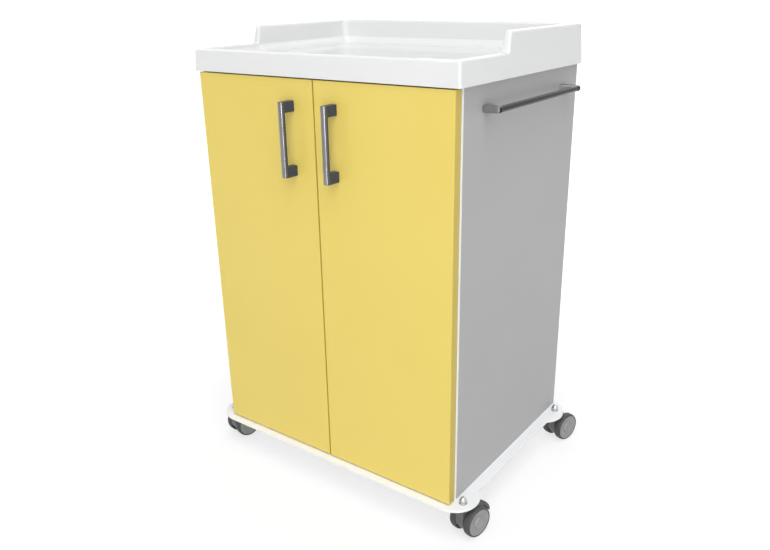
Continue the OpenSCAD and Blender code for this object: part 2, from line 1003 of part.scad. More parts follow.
module hinge_plates() {
    y0 = hinge_plate_y - hinge_plate_w / 2;
    color("silver")
        both_sides()
            difference() {
                at_hinges() {
                    translate([inner_x - hinge_plate_t, y0, -hinge_plate_h / 2])
                        cube([hinge_plate_t, hinge_plate_w, hinge_plate_h]);
                    translate([arm_web_x + arm_sheet, y0, -rib_w / 2])
                        cube([inner_x - arm_web_x - arm_sheet, hinge_plate_w, rib_w]);
                }
                hinge_screw_places()
                    translate([-hinge_plate_t - cut, 0, 0])
                        rod_x(hinge_screw_d + 2 * hole_fit, hinge_plate_t + 2 * cut);
                arm_screw_places()
                    rod_x(arm_screw_d + 2 * hole_fit, arm_sheet + arm_screw_len + dowel_relief);
            }
}

// Side of a hinge arm in plan: a long tail, and a nose that holds the link's pin and the guide's slot
module arm_side() {
    nose = eye_d / 2 + 0.6;
    difference() {
        union() {
            polygon([[arm_web_x, door_back + arm_back], [arm_edge_x, door_back + arm_back],
                [arm_edge_x, door_back + 26], guide_path[2] + [nose, 0], guide_path[2] - [0, nose],
                guide_path[1] - [2.4, 2.6], guide_path[0] - [3.2, 1.8], link_pin - [nose, 0],
                link_pin + [0, nose], [arm_web_x, door_back + arm_neck]]);
            translate(guide_path[2])
                circle(r = nose);
            translate(link_pin)
                circle(r = nose);
        }
        bent_bar(guide_path, hinge_pin_d + 2 * slot_fit);
        translate(link_pin)
            circle(d = hinge_pin_d + 2 * hole_fit);
    }
}

module hinge_arms() {
    color("silver")
        both_sides()
            difference() {
                at_hinges() {
                    both_ends()
                        translate([0, 0, arm_gap / 2])
                            linear_extrude(arm_sheet)
                                arm_side();
                    translate([arm_web_x, door_back + arm_neck, -arm_w / 2])
                        cube([arm_sheet, arm_back - arm_neck, arm_w]);
                }
                arm_screw_places()
                    translate([-cut, 0, 0])
                        rod_x(arm_screw_d + 2 * hole_fit, arm_sheet + 2 * cut);
            }
}

module hinge_arm_pins() {
    color("dimgray")
        both_sides()
            at_hinges()
                translate([link_pin[0], link_pin[1], -arm_w / 2])
                    cylinder(d = hinge_pin_d, h = arm_w);
}

module hinge_screws() {
    color("silver")
        both_sides() {
            hinge_screw_places()
                translate([-hinge_plate_t, 0, 0])
                    rotate([0, 90, 0])
                        screw(hinge_screw_d, hinge_plate_t + hinge_screw_in, 2 * hinge_screw_d, 2);
            arm_screw_places()
                rotate([0, 90, 0])
                    screw(arm_screw_d, arm_sheet + arm_screw_len, 2 * arm_screw_d, 2);
        }
}

// Casters, each built with its swivel axis on the origin, its axle along X and its trail along +Y

module at_caster(c) {
    translate([c[1] * stud_x, c[2] < 0 ? ear_y0 - stud_shift : ear_y1 + stud_shift, 0])
        rotate(c[3])
            children();
}

module caster_housing(c) {
    nose = swivel_d / 2 + 4;
    hood_r = wheel_d / 2 - 5;
    color("dimgray")
        at_caster(c)
            difference() {
                translate([-housing_w / 2, 0, 0])
                    rotate([90, 0, 90])
                        linear_extrude(housing_w) {
                            translate([caster_trail, axle_z])
                                circle(r = hood_r);
                            translate([-nose, axle_z])
                                square([caster_trail + nose, housing_top - axle_z]);
                            translate([0, axle_z])
                                circle(r = nose);
                        }
                translate([0, 0, housing_top - swivel_len - 0.5])
                    cylinder(d = swivel_d + 2 * pin_fit, h = swivel_len + 0.5 + cut);
                translate([-housing_w, caster_trail, axle_z])
                    rod_x(axle_d + 2 * hole_fit, 2 * housing_w);
                if (c == brake_corner)
                    brake_slot();
            }
}

// Slot for the brake's neck and the bores for its pin, open at the top and the back
module brake_slot() {
    w = brake_neck + 2 * brake_gap;
    translate([0, caster_trail, axle_z]) {
        translate([-w / 2, brake_pin[0] - brake_eye / 2 - brake_gap, brake_top - brake_t / 2])
            cube([w, wheel_d, wheel_d]);
        translate([-housing_w, brake_pin[0], brake_pin[1]])
            rod_x(brake_pin_d + 2 * pin_fit, 2 * housing_w);
    }
}

// Brake lever, measured from the axle: a pin, a neck between the wheels and a rounded pedal behind them
module caster_brake(c) {
    edge = wheel_d / 2 + brake_air;
    pin_len = housing_w - 2 * brake_gap;
    tail = [edge + brake_t, brake_top - brake_t / 2];
    color("dimgray")
        at_caster(c)
            translate([0, caster_trail, axle_z]) {
                translate([0, 0, brake_top - brake_t])
                    linear_extrude(brake_t)
                        intersection() {
                            translate([0, brake_reach - brake_w / 2])
                                circle(d = brake_w, $fn = 96);
                            translate([-brake_w, edge])
                                square([2 * brake_w, brake_reach]);
                        }
                translate([-brake_neck / 2, 0, 0])
                    rotate([90, 0, 90])
                        linear_extrude(brake_neck) {
                            bent_bar([brake_pin, tail], brake_t - brake_gap);
                            translate(brake_pin)
                                circle(d = brake_eye);
                        }
                translate([-pin_len / 2, brake_pin[0], brake_pin[1]])
                    rod_x(brake_pin_d, pin_len);
            }
}

module caster_axle(c) {
    len = housing_w + 2 * wheel_gap + 2 * hub_bore - 1;
    color("silver")
        at_caster(c)
            translate([-len / 2, caster_trail, axle_z])
                rod_x(axle_d, len);
}

// Wheel on the right of the housing, turned about its axle
module wheel_body() {
    r = wheel_d / 2;
    w = wheel_w;
    rotate([0, 90, 0])
        difference() {
            rotate_extrude($fn = 96)
                polygon([[0, 0], [8, 0], [8, 2], [r - 6, 2], [r - 5, 0.5], [r - 2, 0], [r - 0.7, 1], [r, 4],
                    [r, w - 7], [r - 0.8, w - 4], [r - 2.2, w - 1.8], [r - 3.2, w - 1.5], [r - 4.2, w - 2],
                    [r - 8, w - 2.6], [13, w - 2], [11, w - 0.6], [8.5, w], [0, w]]);
            translate([0, 0, -cut])
                cylinder(d = axle_d + 2 * pin_fit, h = hub_bore + cut);
        }
}

module caster_wheel(c, s) {
    color("gray")
        at_caster(c)
            on_side(s)
                translate([housing_w / 2 + wheel_gap, caster_trail, axle_z])
                    wheel_body();
}

base_plate();
base_screws();
acorn_nuts();
nut_washers();
caster_studs();
bottom_panel();
side_panel_left();
side_panel_right();
side_edge_bands();
top_panel();
top_rail();
back_panel();
carcass_dowels();
lower_shelf();
upper_shelf();
shelf_pins();
tray_top();
tray_screws();
towel_rail_bar();
towel_rail_posts();
towel_rail_screws();
hinge_plates();
hinge_arms();
hinge_arm_pins();
hinge_screws();
for (s = sides) {
    door(s[1]);
    handle_bar(s[1]);
    handle_posts(s[1]);
    handle_screws(s[1]);
    hinge_cups(s[1]);
    hinge_cup_pins(s[1]);
    hinge_links(s[1]);
    hinge_guide_links(s[1]);
    door_bumpers(s[1]);
}
for (c = corners) {
    caster_housing(c);
    caster_axle(c);
    for (w = wheel_sides)
        caster_wheel(c, w[1]);
}
caster_brake(brake_corner);
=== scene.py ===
# Looks of a bedside cabinet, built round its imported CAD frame. Pieces are sized in mm, the stage in metres.
import json
import math

import bmesh
import bpy
from mathutils import Matrix, Vector


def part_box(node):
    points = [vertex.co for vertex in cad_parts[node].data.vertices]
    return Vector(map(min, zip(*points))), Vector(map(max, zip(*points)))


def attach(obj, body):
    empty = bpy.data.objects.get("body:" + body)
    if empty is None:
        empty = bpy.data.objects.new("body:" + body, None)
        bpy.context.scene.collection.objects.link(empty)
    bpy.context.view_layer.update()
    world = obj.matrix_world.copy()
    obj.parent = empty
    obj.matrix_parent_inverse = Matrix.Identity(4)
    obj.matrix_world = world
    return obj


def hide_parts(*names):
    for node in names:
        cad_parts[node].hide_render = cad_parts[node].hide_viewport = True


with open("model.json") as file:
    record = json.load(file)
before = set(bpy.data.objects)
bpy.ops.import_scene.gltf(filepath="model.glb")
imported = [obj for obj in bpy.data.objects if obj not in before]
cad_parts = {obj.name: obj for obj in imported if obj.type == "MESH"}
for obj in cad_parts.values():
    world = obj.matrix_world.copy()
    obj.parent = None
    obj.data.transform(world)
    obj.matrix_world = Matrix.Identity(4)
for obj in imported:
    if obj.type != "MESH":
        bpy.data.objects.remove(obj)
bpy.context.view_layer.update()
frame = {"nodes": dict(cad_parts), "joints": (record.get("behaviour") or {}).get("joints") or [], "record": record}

MM = 0.001
SIDES = ("left", "right")
CORNERS = ("front_left", "front_right", "rear_left", "rear_right")
scene = bpy.context.scene
nodes = frame["nodes"]
joints = {j["name"]: j for j in frame["joints"]}
body_of = {n: b for b, names in frame["record"]["behaviour"]["bodies"].items() for n in names}


# Materials

NOISE_LOW, NOISE_HIGH = 0.3, 0.7
PATCH_DETAIL, GRAIN_DETAIL = 4.0, 2.0
BUMP_HEIGHT = 0.05
EVEN = (1, 1, 1)
UPRIGHT = (1, 1, 0.012)
ALONG_Y = (1, 0.012, 1)
ALONG_X = (0.15, 1, 1)


def screen(r, g, b):
    """Linear colour that shows as r, g, b of 255 on screen."""
    return tuple(((c / 255 + 0.055) / 1.055) ** 2.4 for c in (r, g, b)) + (1.0,)


def noise(tree, place, scale, detail, stretch):
    """Noise in object coordinates, drawn out along an axis whose stretch is below 1."""
    mapping = tree.nodes.new("ShaderNodeMapping")
    mapping.inputs["Scale"].default_value = stretch
    tree.links.new(place, mapping.inputs["Vector"])
    made = tree.nodes.new("ShaderNodeTexNoise")
    made.inputs["Scale"].default_value = scale
    made.inputs["Detail"].default_value = detail
    tree.links.new(mapping.outputs["Vector"], made.inputs["Vector"])
    return made.outputs[0]


def map_range(tree, value, low, high, to_low, to_high):
    """A value moved from one range to another."""
    made = tree.nodes.new("ShaderNodeMapRange")
    made.inputs["From Min"].default_value = low
    made.inputs["From Max"].default_value = high
    made.inputs["To Min"].default_value = to_low
    made.inputs["To Max"].default_value = to_high
    tree.links.new(value, made.inputs["Value"])
    return made.outputs["Result"]


def material(name, light, dark, rough, patch, grain, stretch=EVEN, bump=0.1, **more):
    """Shader whose colour, roughness and bump follow noise. light and dark are screen colours, rough is a
    pair of roughness values, patch is the scale of the colour's noise and grain that of the bump's."""
    made = bpy.data.materials.new(name)
    made.use_nodes = True
    tree = made.node_tree
    shader = tree.nodes["Principled BSDF"]
    for socket, value in more.items():
        shader.inputs[socket.replace("_", " ")].default_value = value
    place = tree.nodes.new("ShaderNodeTexCoord").outputs["Object"]
    cloud = noise(tree, place, patch, PATCH_DETAIL, stretch)
    speck = noise(tree, place, grain, GRAIN_DETAIL, stretch)
    ramp = tree.nodes.new("ShaderNodeValToRGB")
    for stop, position, colour in zip(ramp.color_ramp.elements, (NOISE_LOW, NOISE_HIGH), (dark, light)):
        stop.position = position
        stop.color = screen(*colour)
    tree.links.new(cloud, ramp.inputs["Fac"])
    tree.links.new(ramp.outputs["Color"], shader.inputs["Base Color"])
    tree.links.new(map_range(tree, speck, NOISE_LOW, NOISE_HIGH, *rough), shader.inputs["Roughness"])
    lift = tree.nodes.new("ShaderNodeBump")
    lift.inputs["Strength"].default_value = bump
    lift.inputs["Distance"].default_value = BUMP_HEIGHT * MM
    tree.links.new(speck, lift.inputs["Height"])
    tree.links.new(lift.outputs["Normal"], shader.inputs["Normal"])
    return made


door_face = material("door_face", (234, 211, 108), (232, 208, 104), (0.38, 0.46), patch=4, grain=1500)
# The doors' edges are a darker yellow than their faces
door_edge = material("door_edge", (204, 181, 76), (198, 175, 71), (0.34, 0.42), patch=9, grain=1500)
side_face = material("side_face", (176, 176, 176), (173, 173, 173), (0.4, 0.5), patch=4, grain=1500)
side_edge = material("side_edge", (190, 191, 192), (184, 185, 186), (0.36, 0.46), patch=9, grain=1500)
board = material("board", (238, 238, 236), (232, 232, 230), (0.42, 0.52), patch=5, grain=1500)
board_edge = material("board_edge", (240, 240, 238), (234, 234, 232), (0.36, 0.46), patch=9, grain=1500)
band = material("band", (250, 250, 248), (245, 245, 243), (0.3, 0.38), patch=9, grain=1500)
tray = material("tray", (233, 234, 234), (231, 232, 232), (0.04, 0.07), patch=5, grain=60, bump=0.004,
                Specular_IOR_Level=0.4)
plate = material("plate", (249, 250, 252), (247, 248, 250), (0.45, 0.55), patch=8, grain=500,
                 Specular_IOR_Level=0.25)
beech = material("beech", (214, 178, 130), (188, 146, 98), (0.55, 0.7), patch=60, grain=500,
                 stretch=ALONG_X)
chrome = material("chrome", (200, 201, 203), (184, 185, 188), (0.05, 0.12), patch=200, grain=900,
                  bump=0.03, Metallic=1.0)
zinc = material("zinc", (196, 198, 200), (172, 174, 178), (0.28, 0.42), patch=160, grain=1200,
                Metallic=1.0)
nickel = material("nickel", (208, 206, 200), (192, 190, 185), (0.2, 0.3), patch=90, grain=900,
                  bump=0.05, Metallic=1.0)
pin_steel = material("pin_steel", (150, 150, 152), (128, 128, 130), (0.25, 0.35), patch=200, grain=900,
                     Metallic=1.0)
handle_steel = material("handle_steel", (142, 142, 145), (104, 104, 107), (0.1, 0.16), patch=500,
                        grain=1600, stretch=UPRIGHT, bump=0.12, Metallic=1.0)
# A darker steel for the handle bars' flanks: painted dark reflection where the bar turns away from the front
handle_painted_dark_reflection = material("handle_painted_dark_reflection", (92, 93, 97), (80, 81, 85), (0.3, 0.4), patch=500, grain=1600,
                        stretch=UPRIGHT, Metallic=0.6)
handle_block = material("handle_block", (63, 69, 88), (56, 62, 81), (0.4, 0.5), patch=60, grain=1200,
                        Specular_IOR_Level=0.3)
# The towel rail's dark steel; on the posts' outward faces it is also painted shade
rail_steel = material("rail_steel", (50, 50, 51), (42, 42, 43), (0.2, 0.28), patch=500, grain=1600,
                      stretch=ALONG_Y, Specular_IOR_Level=0.12)
post_grey = material("post_grey", (132, 132, 133), (122, 122, 123), (0.3, 0.42), patch=60, grain=900,
                     Metallic=0.4)
tread = material("tread", (70, 70, 71), (61, 61, 62), (0.5, 0.64), patch=90, grain=1100)
disc = material("disc", (150, 150, 151), (142, 142, 143), (0.4, 0.5), patch=60, grain=1100)
housing = material("housing", (97, 97, 98), (88, 88, 89), (0.38, 0.48), patch=60, grain=1100)
bumper = material("bumper", (232, 234, 236), (222, 224, 227), (0.2, 0.3), patch=90, grain=900,
                  Transmission_Weight=0.6)


# Pieces: each one stands for a CAD node and rides on its body

BEVEL_ANGLE = math.radians(30)
WELD = 0.002
FLAT_ANGLE = math.radians(0.3)
# FRONT_FACING parts the handle bars' fronts from their flanks, which get the painted dark reflection
FACING, FRONT_FACING = 0.85, 0.72


def corners_of(node):
    """Lowest and highest corner of a CAD node, in mm."""
    return tuple(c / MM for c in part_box(node))


def finish_piece(node, bm, mats, bevel=0.0, segments=2):
    """Turns a bmesh into the piece that stands for a CAD node, with its edges rounded by bevel."""
    body, replaced = body_of[node], [node]
    bmesh.ops.recalc_face_normals(bm, faces=bm.faces)
    for face in bm.faces:
        face.smooth = True
    name = node + "_piece"
    mesh = bpy.data.meshes.new(name)
    bm.to_mesh(mesh)
    bm.free()
    for mat in mats:
        mesh.materials.append(mat)
    piece = bpy.data.objects.new(name, mesh)
    scene.collection.objects.link(piece)
    if bevel:
        edges = piece.modifiers.new("edges", "BEVEL")
        edges.width = bevel * MM
        edges.segments = segments
        edges.limit_method = "ANGLE"
        edges.angle_limit = BEVEL_ANGLE
        edges.use_clamp_overlap = True
    shading = piece.modifiers.new("shading", "WEIGHTED_NORMAL")
    shading.keep_sharp = True
    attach(piece, body)
    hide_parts(*replaced)


def cad_copy(node):
    """The CAD node's surface as a bmesh, with welded points and whole flat faces."""
    bm = bmesh.new()
    bm.from_mesh(nodes[node].data)
    bmesh.ops.remove_doubles(bm, verts=bm.verts, dist=WELD * MM)
    bmesh.ops.dissolve_limit(bm, angle_limit=FLAT_ANGLE, verts=bm.verts, edges=bm.edges)
    for face in bm.faces:
        face.material_index = 0
    return bm


def soften(node, mats, bevel, segments=2, pick=None):
    """A CAD node with its edges rounded; pick chooses a material for a face by its normal."""
    bm = cad_copy(node)
    bm.normal_update()
    if pick:
        for face in bm.faces:
            face.material_index = pick(face.normal)
    finish_piece(node, bm, mats, bevel, segments)


def paint(node, mat):
    """A CAD node that keeps its shape and takes a finished material."""
    for slot in nodes[node].material_slots:
        slot.material = mat


def by_axis(axis):
    """Picks the first material for faces that look along an axis, and the second for the others."""
    return lambda normal: 0 if abs(normal[axis]) > FACING else 1


def painted_dark_flanks(normal):
    """Picks the first material for faces that look to the front, and the second, a painted dark reflection, for
    the others.
    """
    return 0 if normal.y < -FRONT_FACING else 1


# Turned and lofted forms

def axis_place(origin, axis):
    """Matrix whose Z runs along an axis through a point."""
    turn = Vector(axis).to_track_quat("Z", "Y").to_matrix().to_4x4()
    return Matrix.Translation(Vector(origin)) @ turn


def quarter(n):
    """Angles from 0 to a right angle in n steps."""
    return [math.pi / 2 * i / n for i in range(n + 1)]


def between(a, b, t):
    """The value at t on the way from a to b."""
    return a + t * (b - a)


def bridge(bm, rings):
    """Joins closed rings of equal length, each one to the next."""
    for a, b in zip(rings, rings[1:]):
        for i in range(len(a)):
            j = (i + 1) % len(a)
            bm.faces.new((a[i], a[j], b[j], b[i]))


def close_to_point(bm, ring, tip):
    """Joins a ring to one point."""
    for i in range(len(ring)):
        bm.faces.new((ring[i], ring[(i + 1) % len(ring)], tip))


def lathe(bm, profile, place, steps):
    """Adds a turned form: profile points are (radius, height, material of the strip that follows)."""
    rings = []
    for radius, height, _ in profile:
        count = steps if radius else 1
        turns = [2 * math.pi * i / steps for i in range(count)]
        spots = [Vector((radius * math.cos(a), radius * math.sin(a), height)) * MM for a in turns]
        rings.append([bm.verts.new(place @ spot) for spot in spots])
    for low, high, point in zip(rings, rings[1:], profile):
        for i in range(steps):
            j = (i + 1) % steps
            quad = [low[i % len(low)], low[j % len(low)], high[j % len(high)], high[i % len(high)]]
            quad = [v for k, v in enumerate(quad) if v not in quad[:k]]
            bm.faces.new(quad).material_index = point[2]


# Tray

def make_tray():
    """A shell lofted round its rim, with drafted walls, round edges, a step on each side and a well."""
    low, high = corners_of("tray_top")
    x1, y0, y1, z0 = high.x, low.y, high.y, low.z
    # Heights over the underside: low rim, raised back, recess below the floor, floor of the well
    rim, back, seat, floor = 41.0, high.z - low.z, 22.0, 26.0
    # Skirt: its thickness, the round at its foot and the gap over the seat
    wall, lip, lip_mid, gap = 4.0, 0.6, 0.18, 0.05
    # Rim: its width and round edge, and the corner radii outside, inside and at the least
    rim_w, edge, out_r, in_r, least_r = 16.0, 4.5, 5.0, 12.0, 0.3
    # Cove between the well's walls and its floor, and the crease over it
    cove_top, cove_angle, cove_steps, crease = 39.4, math.radians(55), 8, 0.6
    # Step from the low rim to the raised walls: its place behind the front, its run and its two rounds
    step, run, foot_r, foot_steps, top_r, top_steps = 159.0, 8.0, 5.0, 6, 7.0, 8
    draft, flare = math.tan(math.radians(3.7)), math.tan(math.radians(2.2))
    corner_steps, edge_steps = 8, 5
    well = rim * draft + rim_w
    wx, wy0, wy1 = x1 - well, y0 + well, y1 - well
    rise = math.atan2(back - rim, run)
    tangent = math.tan(rise / 2)
    foot_y, top_y = y0 + step, y0 + step + run
    level = (0.0, 1.0)

    # The rim's top line along the step: (y, z, normal's y, normal's z)
    line = []
    for i in range(foot_steps + 1):
        b = rise * i / foot_steps
        line.append((foot_y - foot_r * tangent + foot_r * math.sin(b), rim + foot_r * (1 - math.cos(b)),
                     -math.sin(b), math.cos(b)))
    for i in range(top_steps + 1):
        b = rise * (1 - i / top_steps)
        line.append((top_y + top_r * tangent - top_r * math.sin(b), back - top_r * (1 - math.cos(b)),
                     -math.sin(b), math.cos(b)))
    step_start, step_end = line[0][0], line[-1][0]

    # Stations round the right half: the place of an outer point by its inset from the tray's side, that of
    # an inner point by its offset from the well's side, the rim's height and its normal. drop is measured
    # along the normal, from the rim's top down to the point.
    def corner(sy, a, top):
        """A station at angle a of a corner, in front for sy -1 and at the back for sy 1."""
        cx, cy = math.cos(a), math.sin(a)
        oy, iy = (y0, wy0) if sy < 0 else (y1, wy1)

        def out(inset, drop):
            r = max(out_r - max(0.0, inset - rim * draft), least_r)
            return x1 - inset - r + r * cx, oy - sy * (inset + r) + r * cy

        def inn(offset, drop):
            r = max(in_r + offset, least_r)
            return wx + offset - r + r * cx, iy + sy * (offset - r) + r * cy

        return out, inn, top, level

    def side(out_y, in_y, top, normal=level):
        """A station on the side, where the points under a sloping rim lie square to it."""
        return (lambda inset, drop: (x1 - inset, out_y - normal[0] * drop),
                lambda offset, drop: (wx + offset, in_y - normal[0] * drop), top, normal)

    def end(t, sy, top):
        """A station on the front or the back, at t of the way from the middle to the corner."""
        oy, iy = (y0, wy0) if sy < 0 else (y1, wy1)
        return (lambda inset, drop: (t * (x1 - out_r), oy - sy * inset),
                lambda offset, drop: (t * (wx - in_r), iy + sy * offset), top, level)

    half = [end(t, -1, rim) for t in (0.0, 0.5)]
    half += [corner(-1, a - math.pi / 2, rim) for a in quarter(corner_steps)]
    half.append(side((y0 + out_r + step_start) / 2, (wy0 + in_r + step_start) / 2, rim))
    half += [side(y, y, z, (ny, nz)) for y, z, ny, nz in line]
    half += [side(between(step_end, y1 - out_r, t), between(step_end, wy1 - in_r, t), back)
             for t in (0.3, 0.7)]
    half += [corner(1, a, back) for a in quarter(corner_steps)]
    half += [end(t, 1, back) for t in (0.5, 0.0)]

    def column(station):
        """Points of the shell at a station: recess, foot, outside, over the rim, and down to the floor."""
        out, inn, top, normal = station
        points = []

        def outer(inset, z, drop=edge):
            points.append(Vector((*out(inset, drop), z + z0)) * MM)

        def inner(offset, z, drop=edge):
            points.append(Vector((*inn(offset, drop), z + z0)) * MM)

        outer(wall + seat * draft, seat + gap)
        outer(wall + lip * draft, lip)
        outer(wall - lip, 0)
        outer(lip, 0)
        outer(lip_mid, lip_mid)
        outer(lip * draft, lip)
        rounds = [(edge * (1 - math.sin(a)), edge * (1 - math.cos(a))) for a in quarter(edge_steps)]
        for drop, inward in rounds:
            z = top - normal[1] * drop
            outer(z * draft + inward, z, drop)
        for drop, outward in reversed(rounds):
            z = top - normal[1] * drop
            inner((z - rim) * flare + outward, z, drop)
        start = min(cove_top, top - edge - 2 * crease)
        radius = (start - floor) / (1 - math.cos(cove_angle))
        foot = (start - rim) * flare
        inner(foot + crease * flare, start + crease)
        for i in range(cove_steps + 1):
            a = cove_angle * (1 - i / cove_steps)
            inner(foot - radius * (math.sin(cove_angle) - math.sin(a)), floor + radius * (1 - math.cos(a)))
        return points

    right = [column(s) for s in half]
    left = [[Vector((-p.x, p.y, p.z)) for p in c] for c in reversed(right[1:-1])]
    bm = bmesh.new()
    grid = [[bm.verts.new(p) for p in c] for c in right + left]
    for a, b in zip(grid, grid[1:] + grid[:1]):
        for j in range(len(a) - 1):
            bm.faces.new((a[j], b[j], b[j + 1], a[j + 1]))
    bm.faces.new([c[0] for c in grid])
    bm.faces.new([c[-1] for c in grid])
    finish_piece("tray_top", bm, [tray])


# Casters: wheels turned about their axles, and dome nuts over the studs

def make_wheel(corner, side):
    """A grey disc with a dished boss, and a round-shouldered tyre on it, turned about the axle."""
    node = f"caster_wheel_{corner}_{side}"
    joint = joints[f"wheel_spin_{corner}_{side}"]
    centre = Vector(joint["pos_m"])
    out = Vector(joint["axis"]).normalized() * (1 if side == "right" else -1)
    reach = [(v.co - centre).dot(out) / MM for v in nodes[node].data.vertices]
    inner, w = min(reach), max(reach) - min(reach)
    low, high = corners_of(node)
    r = (high.z - low.z) / 2
    # Points are (radius, height over the inner face), on a wheel of radius r and width w
    axle_r, axle_depth, hub_r, steps = 3.05, 12, 8, 96
    tyre_mat, disc_mat = 0, 1
    bore = [(0, axle_depth), (axle_r, axle_depth), (axle_r, 0)]
    hub = [(hub_r - 0.4, 0), (hub_r, 0.4), (hub_r, 2)]
    tyre_inside = [(r - 6.2, 2), (r - 5.4, 1.2), (r - 4.6, 0.5), (r - 2.2, 0)]
    tyre_tread = [(r - 1.2, 0.3), (r - 0.5, 1.1), (r - 0.12, 2.4), (r, 4.2), (r, w - 7),
                  (r - 0.25, w - 5.4), (r - 0.8, w - 3.9), (r - 1.5, w - 2.6)]
    tyre_outside = [(r - 2.2, w - 1.85), (r - 2.7, w - 1.55), (r - 3.1, w - 1.5), (r - 3.3, w - 2.6)]
    disc_face = [(r - 3.9, w - 2.8), (r - 4.2, w - 2.2), (r - 5, w - 2.05), (r - 7, w - 2.3),
                 (r - 10, w - 3.1), (14.5, w - 3.9), (12.9, w - 3.9)]
    boss = [(12.2, w - 3.3), (11.3, w - 1.2), (10.6, w - 0.3), (9.8, w), (9.0, w - 0.15), (7.5, w - 0.9),
            (5, w - 1.7), (2.5, w - 2.1), (0, w - 2.2)]
    parts = ((bore + hub, disc_mat), (tyre_inside + tyre_tread + tyre_outside, tyre_mat),
             (disc_face + boss, disc_mat))
    bm = bmesh.new()
    lathe(bm, [(*point, mat) for points, mat in parts for point in points],
          axis_place(centre + out * inner * MM, out), steps)
    finish_piece(node, bm, [tread, disc])


def make_nuts():
    """Dome nuts: six chamfered flats and a round cap."""
    low, high = corners_of("acorn_nuts")
    flat_r, hex_h, ledge, foot = 6.5, 6.5, 0.3, 0.35
    chamfer, chamfer_slope, chamfer_rows = 1.6, 0.75, (1.6, 0.9, 0.4, 0.0)
    cap_r, cap_h, cap_steps = flat_r - ledge, high.z - low.z - hex_h, 10
    steps, sixth = 72, math.pi / 3
    hex_r = flat_r / math.cos(sixth / 2)
    angles = [2 * math.pi * i / steps for i in range(steps)]
    hexagon = [flat_r / math.cos((a + sixth / 2) % sixth - sixth / 2) for a in angles]
    rows = []
    for z, inset in [(0, foot), (foot, 0)] + [(hex_h - under, 0) for under in chamfer_rows]:
        cone = hex_r - inset - max(0.0, z - hex_h + chamfer) * chamfer_slope
        rows.append(([min(cone, r) for r in hexagon], z))
    for a in quarter(cap_steps)[:-1]:
        rows.append(([cap_r * math.cos(a)] * steps, hex_h + cap_h * math.sin(a)))
    bm = bmesh.new()
    for corner in CORNERS:
        x, y, _ = joints[f"swivel_turn_{corner}"]["pos_m"]
        base = Vector((x, y, low.z * MM))
        rings = []
        for radii, z in rows:
            rings.append([bm.verts.new(base + Vector((r * math.cos(a), r * math.sin(a), z)) * MM)
                          for r, a in zip(radii, angles)])
        bridge(bm, rings)
        close_to_point(bm, rings[-1], bm.verts.new(base + Vector((0, 0, hex_h + cap_h)) * MM))
        bm.faces.new(rings[0])
    finish_piece("acorn_nuts", bm, [chrome])


# Towel rail

def make_posts():
    """Posts that narrow from a foot on the panel to a round tip over the rod's end."""
    low, high = corners_of("towel_rail_posts")
    bar_low, bar_high = corners_of("towel_rail_bar")
    axis_x = (bar_low.x + bar_high.x) / 2
    tip, half_h, mid_z = high.x - axis_x, (high.z - low.z) / 2, (high.z + low.z) / 2
    # Foot: its width and its round edge. Neck: how its height and width shrink. steps go round a section
    foot, edge, taper, narrowing = 26.0, 0.5, 0.7, 1.3
    neck_steps, tip_steps, steps = 11, 10, 48
    # How square a section is, as a superellipse's power, at the foot, the neck's end and the tip
    foot_power, neck_power, tip_power, tip_fall = 7.0, 4.5, 2.2, 0.8
    # Faces of the posts tilted outward past this slope take the rod's dark steel as painted shade
    painted_shade_slope = 0.6
    # Sections: place, width, half height, power, and inset from the post's outer end
    sections = [(low.x, foot - 2 * edge, half_h - edge, foot_power, edge)]
    for i in range(neck_steps + 1):
        t = i / neck_steps
        width = 2 * tip + (foot - 2 * tip) * (1 - t) ** narrowing
        sections.append((between(low.x + edge, axis_x, t), width, half_h - taper * t,
                         between(foot_power, neck_power, t), 0.0))
    for a in quarter(tip_steps)[1:-1]:
        c, s = math.cos(a), math.sin(a)
        sections.append((axis_x + tip * s, 2 * tip * c, (half_h - taper) * c ** tip_fall,
                         between(neck_power, tip_power, s), tip * (1 - c)))
    bm = bmesh.new()
    for y0, sy in ((low.y, 1), (high.y, -1)):
        rings = []
        for x, width, half, power, inset in sections:
            ring = []
            for i in range(steps):
                a = 2 * math.pi * (i + 0.5) / steps
                cy, cz = math.cos(a), math.sin(a)
                y = width / 2 * (1 + math.copysign(abs(cy) ** (2 / power), cy)) + inset
                z = half * math.copysign(abs(cz) ** (2 / power), cz)
                ring.append(bm.verts.new(Vector((x, y0 + sy * y, mid_z + z)) * MM))
            rings.append(ring)
        bridge(bm, rings)
        close_to_point(bm, rings[-1], bm.verts.new(Vector((axis_x + tip, y0 + sy * tip, mid_z)) * MM))
        bm.faces.new(rings[0])
    bmesh.ops.recalc_face_normals(bm, faces=bm.faces)
    bm.normal_update()
    for face in bm.faces:
        # Painted shade: faces that look outward get the darker rod steel
        face.material_index = 1 if face.normal.x > painted_shade_slope else 0
    finish_piece("towel_rail_posts", bm, [post_grey, rail_steel])


# Screws: the CAD profile turned again, with a domed head and a cross recess

def islands(node):
    """Lists of points, one for each loose part of a CAD node."""
    bm = cad_copy(node)
    left, groups = set(bm.verts), []
    for first in bm.verts:
        if first not in left:
            continue
        left.remove(first)
        stack, group = [first], []
        while stack:
            v = stack.pop()
            group.append(v.co.copy())
            for e in v.link_edges:
                o = e.other_vert(v)
                if o in left:
                    left.remove(o)
                    stack.append(o)
        groups.append(group)
    bm.free()
    return groups


def cross_outline(arm, length):
    """Angles and radii of a cross, in order. arm is half the width of an arm."""
    tip, inside = math.atan2(arm, length), math.pi / 4
    found = []
    for q in range(4):
        for a in (-inside, -(inside + tip) / 2, -tip, 0.0, tip, (inside + tip) / 2):
            on_tip = abs(a) <= tip
            radius = length / math.cos(a) if on_tip else arm / abs(math.sin(a))
            found.append((q * math.pi / 2 + a, radius))
    return found


